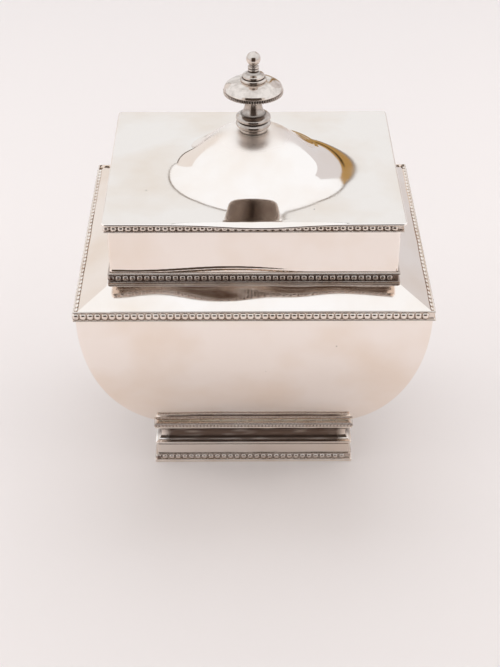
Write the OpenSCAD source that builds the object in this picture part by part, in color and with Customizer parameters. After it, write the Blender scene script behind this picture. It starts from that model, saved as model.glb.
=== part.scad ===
// Casket-shaped sugar bowl in sheet silver with a pull-off cap lid.
// Origin: centre of the foot's underside. +Z up, front towards -Y, millimetres.

/* [Body] */
// Width of the body over the waist border
waist_w = 120; // [100:1:150]
// Depth of the body over the waist border
waist_d = 104; // [86:1:130]
// Height of the waist, where the bowl's wall stands upright
waist_z = 78; // [70:1:90]
// Height over which the bowl's elliptical wall would close to a point
bowl_drop = 73.5; // [70:0.5:80]
// Thickness of the sheet of the bowl, lid, neck and shoulder
sheet_t = 0.9; // [0.7:0.1:1.2]
// How far a pearl border stands proud of the sheet behind it
border_proud = 0.9; // [0.7:0.1:1]
// Height of the waist border
waist_border_h = 3.6; // [3:0.1:4]

/* [Foot] */
// Width of the foot
foot_w = 73; // [66:0.2:76]
// Height of the foot
foot_h = 18.1; // [17:0.1:20]
// Height of the plain fillet the bowl stands on
plinth_h = 1.2; // [1:0.1:1.6]
// Height of the foot's pearl border
foot_border_h = 2.4; // [2.2:0.1:2.8]
// Height of the plain band above the pearls
foot_band_h = 5; // [4:0.1:5.6]
// Height of the ribbed wire under the bowl
foot_top_h = 1.7; // [1.4:0.1:2]
// Depth of the cove between the band and the ribbed wire
cove_depth = 2.4; // [1.6:0.1:2.8]

/* [Shoulder and neck] */
// How far the lid's top plate lies inside the waist border on every side
lid_inset = 10.4; // [9:0.1:12]
// Height of the shoulder's flat ledge, on which the lid rests
seat_z = 84.2; // [83:0.1:88]
// Height of the shoulder's lower edge at the waist
shoulder_low_z = 80.2; // [80:0.1:81]
// Height of the upright neck above the ledge
neck_h = 12; // [8:0.5:16]
// Gap between the neck and the lid's band
neck_gap = 0.45; // [0.35:0.05:0.6]

/* [Lid] */
// Height of the lid's flat top
lid_top_z = 107.9; // [104:0.1:112]
// How far the top plate overhangs the band
lid_overhang = 1.8; // [1.4:0.1:2.2]
// Height of the pearl border under the top plate
upper_border_h = 2.6; // [2.2:0.1:3]
// Height of the pearl border round the band's lower edge
lower_border_h = 4.4; // [3.8:0.1:5]
// Radius at which the dome has run out into the flat plate
dome_r = 40; // [38:0.5:41]
// Height that the dome's flat-topped crown adds on its axis
crown_h = 7.87; // [6:0.01:9]
// Radius at which the crown has fallen to about a third of its height
crown_fall_r = 19.5; // [18:0.1:21]
// Height that the dome's wide flare adds on its axis
flare_h = 6.17; // [5:0.01:7]
// Radius at which the flare has fallen to about a third of its height
flare_fall_r = 22; // [20:0.1:23]

/* [Finial] */
// Radius of the collar that seats on the dome
collar_r = 4.85; // [4:0.05:5.4]
// Radius of the two rolls of the bulb
bulb_r = 5.95; // [5.6:0.05:6.4]
// Radius of the stem under the disc
stem_r = 3.05; // [2.6:0.05:3.4]
// Radius of the disc's milled rim
disc_r = 10.1; // [9:0.1:11]
// Radius of the ball on top
ball_r = 2.25; // [2.1:0.05:2.6]
// Radius of the threaded stud through the finial
stud_r = 1.4; // [1.2:0.05:1.4]

/* [Hidden] */

$fn = 96;
silver = [0.86, 0.84, 0.82];
aged_silver = [0.62, 0.59, 0.57];
steel = [0.55, 0.56, 0.58];

seam = 0.02;                                // half of a soldered mitre's gap
wedge_reach = 90;                           // how far a mitre wedge reaches from the axis
curve_steps = 24;                           // straight steps in a formula curve

waist_x = waist_w / 2;
waist_y = waist_d / 2;
bowl_x = waist_x - border_proud;            // the bowl's outer face at the waist
bowl_y = waist_y - border_proud;
plan_ratio = bowl_y / bowl_x;
waist_border_z = shoulder_low_z + 0.4 - waist_border_h;

foot_x = foot_w / 2;
foot_y = foot_x * plan_ratio;
foot_wall = 3.6;                            // how thick the foot's mouldings are
band_inset = 0.9;                           // how far the plain band stands behind the pearls
cove_inset = 0.3;                           // how far the cove's lips stand behind the pearls
cove_lip = 0.7;                             // height of the lip above and below the hollow
cove_z = plinth_h + foot_border_h + foot_band_h;
cove_h = foot_h - foot_top_h - cove_z;
hollow_half = cove_h / 2 - cove_lip;
hollow_r = (pow(hollow_half, 2) + pow(cove_depth, 2)) / (2 * cove_depth);

floor_t = sheet_t;
bowl_base_z = foot_h + floor_t;

shoulder_t = sheet_t * 1.08;                // the sloping sheet measured upright
lid_x = waist_x - lid_inset;
lid_y = waist_y - lid_inset;
band_x = lid_x - lid_overhang;
band_y = lid_y - lid_overhang;
neck_inset = sheet_t + neck_gap;            // from the band's outer face to the neck's
ledge_out = border_proud + 0.3;             // how far the flat ledge runs past the band
neck_low_z = seat_z - 2;
plate_z = lid_top_z - sheet_t;
plate_corner_r = 1.4;
border_inset = 0.3;                         // how far the upper border stays behind the plate's edge
crown_power = 4.2;                          // how flat the crown's top and how steep its side

seat_flat_z = lid_top_z + dome_height(collar_r);
stud_bore_r = stud_r + 0.05;
washer_r = 4.4;
washer_t = 0.8;
nut_t = 2.4;
nut_flats = 5.5;
stud_tail = 1.2;                            // thread left showing below the nut

collar_h = 0.9;
roll_h = 2.2;                               // height of each roll of the bulb
roll_round = 1.1;                           // radius of a roll's round edge
groove_h = 0.3;                             // height of the grooves that part the mouldings
bulb_h = collar_h + 2 * roll_h + 2 * groove_h;
stem_flare_h = 2;                           // height over which the bulb draws in to the stem
disc_under_z = seat_flat_z + 12.2;
disc_cone_h = 1.3;                          // height of the disc's dished underside
rim_h = 1.2;
rim_z = disc_under_z + disc_cone_h;
cap_h = 3.3;                                // height of the disc's domed top
cap_top_z = rim_z + rim_h + cap_h;
cap_flat_r = 4.2;
step_r = [4.45, 3.75];                      // the two stepped rings under the knop's neck
step_h = 1.15;
knop_neck_r = 1.65;
knop_ring_r = 1.85;
ball_z = cap_top_z + 2 * step_h + 5.5;
stud_top_z = cap_top_z + 1.6;

// ---- curves ----

// Half-width of the bowl at a height: an ellipse quadrant that stands upright at the waist
function bowl_reach(half, drop, z) = half * sqrt(1 - pow((waist_z - z) / drop, 2));

// Points of that quadrant from the base up to the waist, even in angle
function bowl_curve(half, drop) =
    let (base_angle = asin((waist_z - bowl_base_z) / drop))
    [for (i = [0 : curve_steps])
        let (a = base_angle * (1 - i / curve_steps))
        [half * cos(a), waist_z - drop * sin(a)]];

// A bell curve, 1 on the axis, that has fallen to about a third at fall_r; a higher power
// makes its top flatter and its side steeper
function bell(r, fall_r, power) = exp(-pow(r / fall_r, power));

// Crown and flare together at a radius
function dome_rise(r) =
    crown_h * bell(r, crown_fall_r, crown_power) + flare_h * bell(r, flare_fall_r, 2);

// Height of the dome above the lid's flat at a radius, 0 at its rim
function dome_height(r) = dome_rise(r) - dome_rise(dome_r);

// Points of the dome from the collar's edge out to the flat, lowered by a depth
function dome_curve(depth) =
    [for (i = [0 : curve_steps])
        let (r = collar_r + (dome_r - collar_r) * i / curve_steps)
        [r, lid_top_z + dome_height(r) - depth]];

function reversed(list) = [for (i = [len(list) - 1 : -1 : 0]) list[i]];

// ---- shared shapes ----

// A plan wedge that holds the front side of a frame; its mitres run out by gain for each
// unit of depth, from a point that lies lead behind the axis
module front_wedge(gain, lead) {
    half = (wedge_reach + lead) * gain - seam;
    linear_extrude(lid_top_z + 2)
        polygon([[0, lead - seam], [-half, -wedge_reach], [half, -wedge_reach]]);
}

// The 2D section in children(), drawn outwards and up, run along the front side
module front_run(half_length) {
    translate([half_length, 0, 0])
        rotate([90, 0, -90])
            linear_extrude(2 * half_length) children();
}

// Four mitred lengths of the section in children(); its zero is the frame's outer face
module mitred_frame(half_w, half_d) {
    lead = half_w - half_d;
    for (turn = [0, 180])
        rotate(turn)
            intersection() {
                front_run(half_w + 1) translate([half_d, 0]) children();
                front_wedge(1, lead);
            }
    for (turn = [90, 270])
        rotate(turn)
            intersection() {
                front_run(half_d + 1) translate([half_w, 0]) children();
                front_wedge(1, -lead);
            }
}

// A flat strip's section: from inset behind the outer face, so thick, from z up by height
module strip(inset, thick, z, height) {
    translate([-inset - thick, z]) square([thick, height]);
}

module rounded_plan(half_w, half_d, r) {
    square([2 * half_w, 2 * (half_d - r)], center = true);
    square([2 * (half_w - r), 2 * half_d], center = true);
    for (x = [-1, 1])
        for (y = [-1, 1])
            translate([x * (half_w - r), y * (half_d - r)]) circle(r);
}

// ---- foot ----

module foot_plinth() {
    color(silver)
        mitred_frame(foot_x, foot_y) strip(0, foot_wall, 0, plinth_h);
}

module foot_bead_border() {
    color(aged_silver)
        mitred_frame(foot_x, foot_y) strip(0, foot_wall, plinth_h, foot_border_h);
}

module foot_band() {
    color(silver)
        mitred_frame(foot_x, foot_y)
            strip(band_inset, foot_wall - band_inset, plinth_h + foot_border_h, foot_band_h);
}

module foot_cove() {
    color(silver)
        mitred_frame(foot_x, foot_y)
            difference() {
                strip(cove_inset, foot_wall, cove_z, cove_h);
                translate([hollow_r - cove_depth - cove_inset, cove_z + cove_h / 2]) circle(hollow_r);
            }
}

module foot_top_border() {
    color(aged_silver)
        mitred_frame(foot_x, foot_y)
            strip(0, foot_wall + cove_inset, foot_h - foot_top_h, foot_top_h);
}

// ---- bowl ----

module bowl_floor() {
    half_w = bowl_reach(bowl_x, bowl_drop, foot_h + floor_t / 2);
    color(silver)
        translate([-half_w, -half_w * plan_ratio, foot_h])
            cube([2 * half_w, 2 * half_w * plan_ratio, floor_t]);
}

// One curved wall of the bowl at the front, mitred towards its neighbours
module bowl_panel(half_off, half_length) {
    top_z = shoulder_low_z - shoulder_t;
    outer = concat(bowl_curve(half_off, bowl_drop), [[half_off, top_z]]);
    inner = concat(bowl_curve(half_off - sheet_t, bowl_drop - sheet_t), [[half_off - sheet_t, top_z]]);
    intersection() {
        front_run(half_length + 1) polygon(concat(outer, reversed(inner)));
        front_wedge(half_length / half_off, 0);
    }
}

module bowl_front_panel() {
    color(silver) bowl_panel(bowl_y, bowl_x);
}

module bowl_back_panel() {
    color(silver) rotate(180) bowl_panel(bowl_y, bowl_x);
}

module bowl_left_panel() {
    color(silver) rotate(-90) bowl_panel(bowl_x, bowl_y);
}

module bowl_right_panel() {
    color(silver) rotate(90) bowl_panel(bowl_x, bowl_y);
}

module waist_bead_border() {
    color(aged_silver)
        mitred_frame(waist_x, waist_y) strip(0, border_proud, waist_border_z, waist_border_h);
}

// ---- shoulder and neck ----

// Hipped sheet: a flat ledge under the lid, then a straight slope down to the waist
module shoulder() {
    neck_edge = band_x - neck_inset - bowl_x;
    ledge_edge = band_x + ledge_out - bowl_x;
    color(silver)
        mitred_frame(bowl_x, bowl_y)
            polygon([
                [neck_edge, seat_z - shoulder_t], [ledge_edge, seat_z - shoulder_t],
                [0, shoulder_low_z - shoulder_t], [0, shoulder_low_z],
                [ledge_edge, seat_z], [neck_edge, seat_z]
            ]);
}

module neck() {
    color(silver)
        mitred_frame(band_x - neck_inset, band_y - neck_inset)
            strip(0, sheet_t, neck_low_z, seat_z + neck_h - neck_low_z);
}

// ---- lid ----

module lid_band() {
    color(silver)
        mitred_frame(band_x, band_y) strip(0, sheet_t, seat_z, plate_z - seat_z);
}

module lid_lower_border() {
    color(aged_silver)
        mitred_frame(band_x + border_proud, band_y + border_proud)
            strip(0, border_proud, seat_z, lower_border_h);
}

module lid_upper_border() {
    color(aged_silver)
        mitred_frame(lid_x - border_inset, lid_y - border_inset)
            strip(0, lid_overhang - border_inset, plate_z - upper_border_h, upper_border_h);
}

// The lid's top in one sheet: a flat plate that rises into the dome, with a flat seat and
// the stud's hole on its axis
module lid_top_plate() {
    color(silver) {
        translate([0, 0, plate_z])
            linear_extrude(sheet_t)
                difference() {
                    rounded_plan(lid_x, lid_y, plate_corner_r);
                    circle(dome_r);
                }
        rotate_extrude()
            polygon(concat(
                [[stud_bore_r, seat_flat_z]], dome_curve(0),
                reversed(dome_curve(sheet_t)), [[stud_bore_r, seat_flat_z - sheet_t]]
            ));
    }
}

// ---- finial ----

// A turned roll with a round edge, from z up
module roll(r, z) {
    translate([0, 0, z]) cylinder(r = r - roll_round, h = roll_h);
    translate([0, 0, z + roll_h / 2]) rotate_extrude() translate([r - roll_round, 0]) circle(roll_round);
}

module finial_base() {
    first_roll_z = seat_flat_z + collar_h + groove_h;
    second_roll_z = first_roll_z + roll_h + groove_h;
    bulb_top_z = second_roll_z + roll_h - groove_h;
    color(aged_silver)
        difference() {
            union() {
                translate([0, 0, seat_flat_z]) cylinder(r = collar_r, h = collar_h);
                translate([0, 0, seat_flat_z + collar_h / 2])
                    cylinder(r = bulb_r - roll_round, h = bulb_h - collar_h);
                roll(bulb_r, first_roll_z);
                roll(bulb_r, second_roll_z);
                translate([0, 0, bulb_top_z])
                    cylinder(r1 = bulb_r - roll_round, r2 = stem_r, h = stem_flare_h);
                translate([0, 0, bulb_top_z]) cylinder(r = stem_r, h = disc_under_z - bulb_top_z);
            }
            translate([0, 0, seat_flat_z - 1]) cylinder(r = stud_bore_r, h = disc_under_z);
        }
}

// The disc: a dished underside, a plain core behind the milled rim and a domed top
module finial_disc() {
    core_r = disc_r - 0.8;
    rise = [for (i = [0 : curve_steps])
        let (a = 90 * i / curve_steps)
        [cap_flat_r + (disc_r - 0.2 - cap_flat_r) * cos(a), rim_z + rim_h + cap_h * sin(a)]];
    color(aged_silver)
        rotate_extrude()
            polygon(concat(
                [[stud_bore_r, disc_under_z], [stem_r, disc_under_z], [core_r, rim_z], [core_r, rim_z + rim_h]],
                rise,
                [[stud_bore_r, cap_top_z]]
            ));
}

module finial_bead_ring() {
    core_r = disc_r - 0.8;
    color(aged_silver)
        translate([0, 0, rim_z])
            difference() {
                cylinder(r = disc_r, h = rim_h);
                translate([0, 0, -1]) cylinder(r = core_r, h = rim_h + 2);
            }
}

module finial_knop() {
    neck_z = cap_top_z + 2 * step_h;
    ring_z = neck_z + 2.1;
    color(aged_silver)
        difference() {
            union() {
                for (i = [0, 1])
                    translate([0, 0, cap_top_z + i * step_h]) cylinder(r = step_r[i], h = step_h);
                translate([0, 0, neck_z]) cylinder(r1 = step_r[1] - 0.9, r2 = knop_neck_r, h = 1.4);
                translate([0, 0, neck_z]) cylinder(r = knop_neck_r, h = ball_z - neck_z);
                translate([0, 0, ring_z]) cylinder(r = knop_ring_r, h = step_h);
                translate([0, 0, ball_z]) sphere(ball_r);
            }
            translate([0, 0, cap_top_z - 1]) cylinder(r = stud_bore_r, h = 1 + stud_top_z - cap_top_z);
        }
}

module finial_stud() {
    low_z = seat_flat_z - sheet_t - washer_t - nut_t - stud_tail;
    color(steel)
        translate([0, 0, low_z]) cylinder(r = stud_r, h = stud_top_z - low_z);
}

module finial_washer() {
    color(steel)
        translate([0, 0, seat_flat_z - sheet_t - washer_t])
            difference() {
                cylinder(r = washer_r, h = washer_t);
                translate([0, 0, -1]) cylinder(r = stud_bore_r, h = washer_t + 2);
            }
}

module finial_nut() {
    color(steel)
        translate([0, 0, seat_flat_z - sheet_t - washer_t - nut_t])
            difference() {
                cylinder(r = nut_flats / 2 / cos(30), h = nut_t, $fn = 6);
                translate([0, 0, -1]) cylinder(r = stud_bore_r, h = nut_t + 2);
            }
}

foot_plinth();
foot_bead_border();
foot_band();
foot_cove();
foot_top_border();
bowl_floor();
bowl_front_panel();
bowl_back_panel();
bowl_left_panel();
bowl_right_panel();
waist_bead_border();
shoulder();
neck();
lid_band();
lid_lower_border();
lid_upper_border();
lid_top_plate();
finial_base();
finial_disc();
finial_bead_ring();
finial_knop();
finial_stud();
finial_washer();
finial_nut();
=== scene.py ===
"""Looks of the silver casket sugar bowl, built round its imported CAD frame.

Every surface is a numpy grid in metres, in the frame's own axes: +Z up, front towards -Y.
Rectangular pieces are profiles carried round a rounded rectangle, and turned pieces are
profiles spun about the Z axis. Each piece rides on a CAD body and replaces the nodes that
it stands for.
"""

import logging
import math
from dataclasses import dataclass, replace
from enum import Enum

import bmesh
import bpy
import numpy as np
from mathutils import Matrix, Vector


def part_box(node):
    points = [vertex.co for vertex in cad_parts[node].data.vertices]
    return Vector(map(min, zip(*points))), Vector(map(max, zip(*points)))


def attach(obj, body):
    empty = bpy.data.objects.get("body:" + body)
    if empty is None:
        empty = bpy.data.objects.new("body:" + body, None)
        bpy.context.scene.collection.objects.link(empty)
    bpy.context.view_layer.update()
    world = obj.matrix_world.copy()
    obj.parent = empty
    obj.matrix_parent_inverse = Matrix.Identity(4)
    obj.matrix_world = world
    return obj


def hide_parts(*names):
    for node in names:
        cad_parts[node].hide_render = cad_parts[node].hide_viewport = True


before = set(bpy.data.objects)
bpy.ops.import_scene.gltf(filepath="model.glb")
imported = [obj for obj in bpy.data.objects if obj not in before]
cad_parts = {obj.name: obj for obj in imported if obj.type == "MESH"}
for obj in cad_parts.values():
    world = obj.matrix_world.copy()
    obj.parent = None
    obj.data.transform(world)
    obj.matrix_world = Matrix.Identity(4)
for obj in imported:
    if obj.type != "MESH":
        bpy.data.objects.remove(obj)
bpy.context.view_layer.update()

LOG = logging.getLogger("sugar_bowl")
MM = 0.001
# How many sine waves make one ripple.
WAVES = 9


class Body(Enum):
    """The two rigid bodies of the frame."""

    BOWL = "bowl"
    LID = "lid"


class Slot(Enum):
    """The record's material slots."""

    SHEET = "polished_silver"
    WIRE = "border_silver"
    CAST = "aged_silver"
    STEEL = "stud_steel"


# ---------------------------------------------------------------- colour and nodes


def linear(hex_colour: str) -> tuple[float, float, float, float]:
    """Turns an sRGB hex colour into linear light.

    Args:
        hex_colour: six hex digits after a hash sign.

    Returns:
        Linear red, green, blue and an alpha of 1.
    """
    value = np.array([int(hex_colour[i:i + 2], 16) for i in (1, 3, 5)]) / 255.0
    light = np.where(value <= 0.04045, value / 12.92, ((value + 0.055) / 1.055) ** 2.4)
    return (*(float(c) for c in light), 1.0)


def add_node(tree: bpy.types.NodeTree, kind: str, settings: dict | None = None) -> bpy.types.Node:
    """Adds one node, sets its properties and sockets, and links its inputs.

    Args:
        tree: the node tree that gets the node.
        kind: Blender's type name of the node, without "ShaderNode" before it.
        settings: values by property name, or by socket name or number. A socket's value
            is a constant, or another node's output to link.

    Returns:
        The new node.
    """
    node = tree.nodes.new("ShaderNode" + kind)
    for key, value in (settings or {}).items():
        if isinstance(key, str) and hasattr(node, key):
            setattr(node, key, value)
        elif isinstance(value, bpy.types.NodeSocket):
            tree.links.new(value, node.inputs[key])
        else:
            node.inputs[key].default_value = value
    return node


def blank_metal(name: str) -> tuple[bpy.types.Material, bpy.types.Node, bpy.types.NodeSocket]:
    """Starts a metal's node material.

    Args:
        name: the material's name.

    Returns:
        The material, its shader node and the socket that gives object coordinates.
    """
    made = bpy.data.materials.new(name)
    made.use_nodes = True
    tree = made.node_tree
    shader = tree.nodes["Principled BSDF"]
    shader.inputs["Metallic"].default_value = 1.0
    return made, shader, add_node(tree, "TexCoord").outputs["Object"]


# ---------------------------------------------------------------- finishes


# Full tarnish and painted shade add this much roughness.
TARNISH_ROUGHNESS = 0.3
# Size and depth of the fine polishing scratches.
SCRATCH_MM = 0.5
SCRATCH_DEPTH_MM = 0.02
# Pits: one cell in seven has one, and its radius is a share of the cell.
PIT_CELL_MM = 4.0
PIT_SHARE = 0.14
PIT_RADIUS = 0.05


@dataclass(frozen=True)
class SilverFinish:
    """One finish of silver: a mirror metal with soft clouds, wiping haze, tarnish and painted shade.

    Attributes:
        name: what the finish is, and how it was made.
        metal: colour of the clean metal.
        clouded: colour where old polish and a breath of tarnish cloud it.
        tarnish: colour of the tarnish in the hollows that a cloth doesn't reach, and of the shade
            painted in the cove and under the finial's disc.
        gloss: roughness where it is cleanest.
        haze: how much roughness the wiping marks add.
        cloud_mm: size of the clouds.
        wipe_mm: size of the wiping marks.
        cloud_depth: how far the clouds go towards the clouded colour.
        scratch: strength of the fine polishing scratches.
        pits: whether small pits show.
    """

    name: str
    metal: str
    clouded: str
    tarnish: str
    gloss: float
    haze: float
    cloud_mm: float
    wipe_mm: float
    cloud_depth: float
    scratch: float
    pits: bool = False

    def material(self) -> bpy.types.Material:
        """Builds the finish's node material.

        Returns:
            The material, which reads object coordinates and the attribute of tarnish and painted
            shade.
        """
        made, shader, place = blank_metal(self.name)
        tree = made.node_tree
        clouds = add_node(tree, "TexNoise", {
            "Vector": place, "Scale": 1.0 / (self.cloud_mm * MM), "Detail": 3.0, "Roughness": 0.5})
        depth = add_node(tree, "MapRange", {
            "Value": clouds.outputs["Fac"], "From Min": 0.42, "From Max": 0.72,
            "To Min": 0.0, "To Max": self.cloud_depth})
        clean = add_node(tree, "Mix", {
            "data_type": "RGBA", 0: depth.outputs["Result"],
            6: linear(self.metal), 7: linear(self.clouded)}).outputs[2]
        # The attribute holds tarnish, and also painted shade in the cove and under the finial's disc.
        hollow = add_node(tree, "Attribute", {"attribute_name": "tarnish"}).outputs["Fac"]
        colour = add_node(tree, "Mix", {
            "data_type": "RGBA", 0: hollow, 6: clean, 7: linear(self.tarnish)}).outputs[2]
        wipes = add_node(tree, "TexNoise", {
            "Vector": place, "Scale": 1.0 / (self.wipe_mm * MM), "Detail": 4.0, "Roughness": 0.6})
        rough = add_node(tree, "MapRange", {
            "Value": wipes.outputs["Fac"], "From Min": 0.35, "From Max": 0.8,
            "To Min": self.gloss, "To Max": self.gloss + self.haze}).outputs["Result"]
        rough = add_node(tree, "Math", {
            "operation": "MULTIPLY_ADD", 0: hollow, 1: TARNISH_ROUGHNESS, 2: rough}).outputs[0]
        worn = add_node(tree, "Attribute", {"attribute_name": "haze"}).outputs["Fac"]
        rough = add_node(tree, "Math", {"operation": "ADD", 0: worn, 1: rough}).outputs[0]
        grain = add_node(tree, "TexNoise", {
            "Vector": place, "Scale": 1.0 / (SCRATCH_MM * MM), "Detail": 2.0, "Roughness": 0.7})
        relief = add_node(tree, "Bump", {
            "Strength": self.scratch, "Distance": SCRATCH_DEPTH_MM * MM,
            "Height": grain.outputs["Fac"]})
        if self.pits:
            cells = add_node(tree, "TexVoronoi", {"Vector": place, "Scale": 1.0 / (PIT_CELL_MM * MM)})
            few = add_node(tree, "SeparateColor", {"Color": cells.outputs["Color"]}).outputs[0]
            rare = add_node(tree, "Math", {
                "operation": "GREATER_THAN", 0: few, 1: 1.0 - PIT_SHARE}).outputs[0]
            small = add_node(tree, "Math", {
                "operation": "LESS_THAN", 0: cells.outputs["Distance"], 1: PIT_RADIUS}).outputs[0]
            pit = add_node(tree, "Math", {
                "operation": "MULTIPLY", 0: rare, 1: small}).outputs[0]
            colour = add_node(tree, "Mix", {
                "data_type": "RGBA", 0: pit, 6: colour, 7: linear(self.tarnish)}).outputs[2]
        tree.links.new(colour, shader.inputs["Base Color"])
        tree.links.new(rough, shader.inputs["Roughness"])
        tree.links.new(relief.outputs["Normal"], shader.inputs["Normal"])
        return made


# Sheet silver, planished and buffed: a nearly white mirror whose reflections wander a little.
SHEET_SILVER = SilverFinish(
    "buffed_sheet_silver", metal="#FBF2EB", clouded="#F1E0D0", tarnish="#513D31",
    gloss=0.035, haze=0.045, cloud_mm=26.0, wipe_mm=9.0, cloud_depth=0.7, scratch=0.05, pits=True)
# The inside of the bowl is pickled and only wiped, so it stays soft and a little yellow.
INNER_SILVER = SilverFinish(
    "pickled_inner_silver", metal="#F3ECDF", clouded="#E4D8C3", tarnish="#8B7A62",
    gloss=0.24, haze=0.10, cloud_mm=18.0, wipe_mm=6.0, cloud_depth=0.8, scratch=0.08)
# Struck pearl wire: bright on the crowns, brown where polish never gets in.
WIRE_SILVER = SilverFinish(
    "struck_pearl_wire_silver", metal="#F5EBE2", clouded="#DCC8B8", tarnish="#57372A",
    gloss=0.07, haze=0.06, cloud_mm=7.0, wipe_mm=2.0, cloud_depth=0.6, scratch=0.10)
# Cast and turned silver: bright rolls with grey-brown tarnish in the grooves.
CAST_SILVER = SilverFinish(
    "turned_cast_silver", metal="#EBDFD5", clouded="#A08F84", tarnish="#38281D",
    gloss=0.06, haze=0.10, cloud_mm=3.2, wipe_mm=1.6, cloud_depth=0.55, scratch=0.3)


@dataclass(frozen=True)
class SteelFinish:
    """Turned steel of the stud and its nut: a grey metal with fine marks from the tool.

    Attributes:
        name: what the finish is, and how it was made.
        metal: colour of the clean metal.
        worn: colour of the duller marks.
        gloss: roughness where it is smoothest.
        haze: how much roughness the marks add.
        mark_mm: size of the marks.
    """

    name: str = "turned_steel"
    metal: str = "#B9BABB"
    worn: str = "#8F8F90"
    gloss: float = 0.32
    haze: float = 0.15
    mark_mm: float = 0.7

    def material(self) -> bpy.types.Material:
        """Builds the steel's node material.

        Returns:
            The material, which reads object coordinates.
        """
        made, shader, place = blank_metal(self.name)
        tree = made.node_tree
        marks = add_node(tree, "TexNoise", {
            "Vector": place, "Scale": 1.0 / (self.mark_mm * MM), "Detail": 3.0}).outputs["Fac"]
        rough = add_node(tree, "MapRange", {
            "Value": marks, "To Min": self.gloss, "To Max": self.gloss + self.haze})
        tint = add_node(tree, "Mix", {
            "data_type": "RGBA", 0: marks, 6: linear(self.metal), 7: linear(self.worn)}).outputs[2]
        tree.links.new(tint, shader.inputs["Base Color"])
        tree.links.new(rough.outputs["Result"], shader.inputs["Roughness"])
        return made


# ---------------------------------------------------------------- surfaces as arrays


@dataclass(frozen=True)
class Grid:
    """A surface on a grid of two parameters.

    Attributes:
        points: positions, rows by columns by three, in metres.
        close_rows: whether the last row joins the first.
        close_columns: whether the last column joins the first.
        tarnish: how dark each point is painted, rows by columns, from 0 to 1: tarnish in the hollows,
            and painted shade in the cove and under the finial's disc.
        haze: how much rougher than its finish each point is, rows by columns.
    """

    points: np.ndarray
    close_rows: bool = True
    close_columns: bool = True
    tarnish: np.ndarray | float = 0.0
    haze: np.ndarray | float = 0.0

    def spread(self, values: np.ndarray | float) -> np.ndarray:
        """One value for each point, in the points' order, from an array or a constant."""
        return np.broadcast_to(values, self.points.shape[:2]).ravel()

    def faces(self) -> np.ndarray:
        """Lists each grid cell as four point numbers.

        Returns:
            An array of cells by four.
        """
        rows, columns = self.points.shape[:2]
        index = np.arange(rows * columns).reshape(rows, columns)
        if self.close_rows:
            index = np.vstack([index, index[:1]])
        if self.close_columns:
            index = np.hstack([index, index[:, :1]])
        corners = [index[:-1, :-1], index[1:, :-1], index[1:, 1:], index[:-1, 1:]]
        return np.stack([c.ravel() for c in corners], axis=1)

    def normals(self) -> np.ndarray:
        """Works out the surface's normals from the differences along its two parameters.

        Returns:
            Unit vectors, rows by columns by three.
        """
        def step(axis: int, closed: bool) -> np.ndarray:
            """Central differences along one axis, wrapping round where it is closed."""
            if closed:
                return np.roll(self.points, -1, axis) - np.roll(self.points, 1, axis)
            return np.gradient(self.points, axis=axis)

        cross = np.cross(step(0, self.close_rows), step(1, self.close_columns))
        return cross / np.maximum(np.linalg.norm(cross, axis=2, keepdims=True), 1e-12)


def soften(outline: list[tuple[float, float, float]], steps: int = 5) -> np.ndarray:
    """Rounds the corners of an outline given in millimetres.

    Each corner becomes a short curve that leaves one side and meets the next: the
    quadratic curve between two points at the corner's rounding distance, with a support
    point just beyond each end so that flat stretches shade flat.

    Args:
        outline: places in two directions and the rounding distance, for each corner.
        steps: how many points each curve has.

    Returns:
        Points by two, in metres, for a closed outline.
    """
    corner = np.array([p[:2] for p in outline], float) * MM
    bend = np.array([p[2] for p in outline], float) * MM
    before, after = np.roll(corner, 1, 0) - corner, np.roll(corner, -1, 0) - corner
    back, ahead = np.linalg.norm(before, axis=1), np.linalg.norm(after, axis=1)
    reach = np.minimum(bend, 0.42 * np.minimum(back, ahead))
    support = reach + np.minimum(0.12 * MM, 0.06 * np.minimum(back, ahead))
    toward_before, toward_after = before / back[:, None], after / ahead[:, None]
    share = np.linspace(0.0, 1.0, steps)[None, :, None]
    start = (corner + toward_before * reach[:, None])[:, None]
    end = (corner + toward_after * reach[:, None])[:, None]
    curve = (1 - share) ** 2 * start + 2 * share * (1 - share) * corner[:, None] + share ** 2 * end
    first = (corner + toward_before * support[:, None])[:, None]
    last = (corner + toward_after * support[:, None])[:, None]
    points = np.concatenate([first, curve, last], axis=1).reshape(-1, 2)
    return points[np.linalg.norm(points - np.roll(points, 1, 0), axis=1) > 0.002 * MM]


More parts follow.
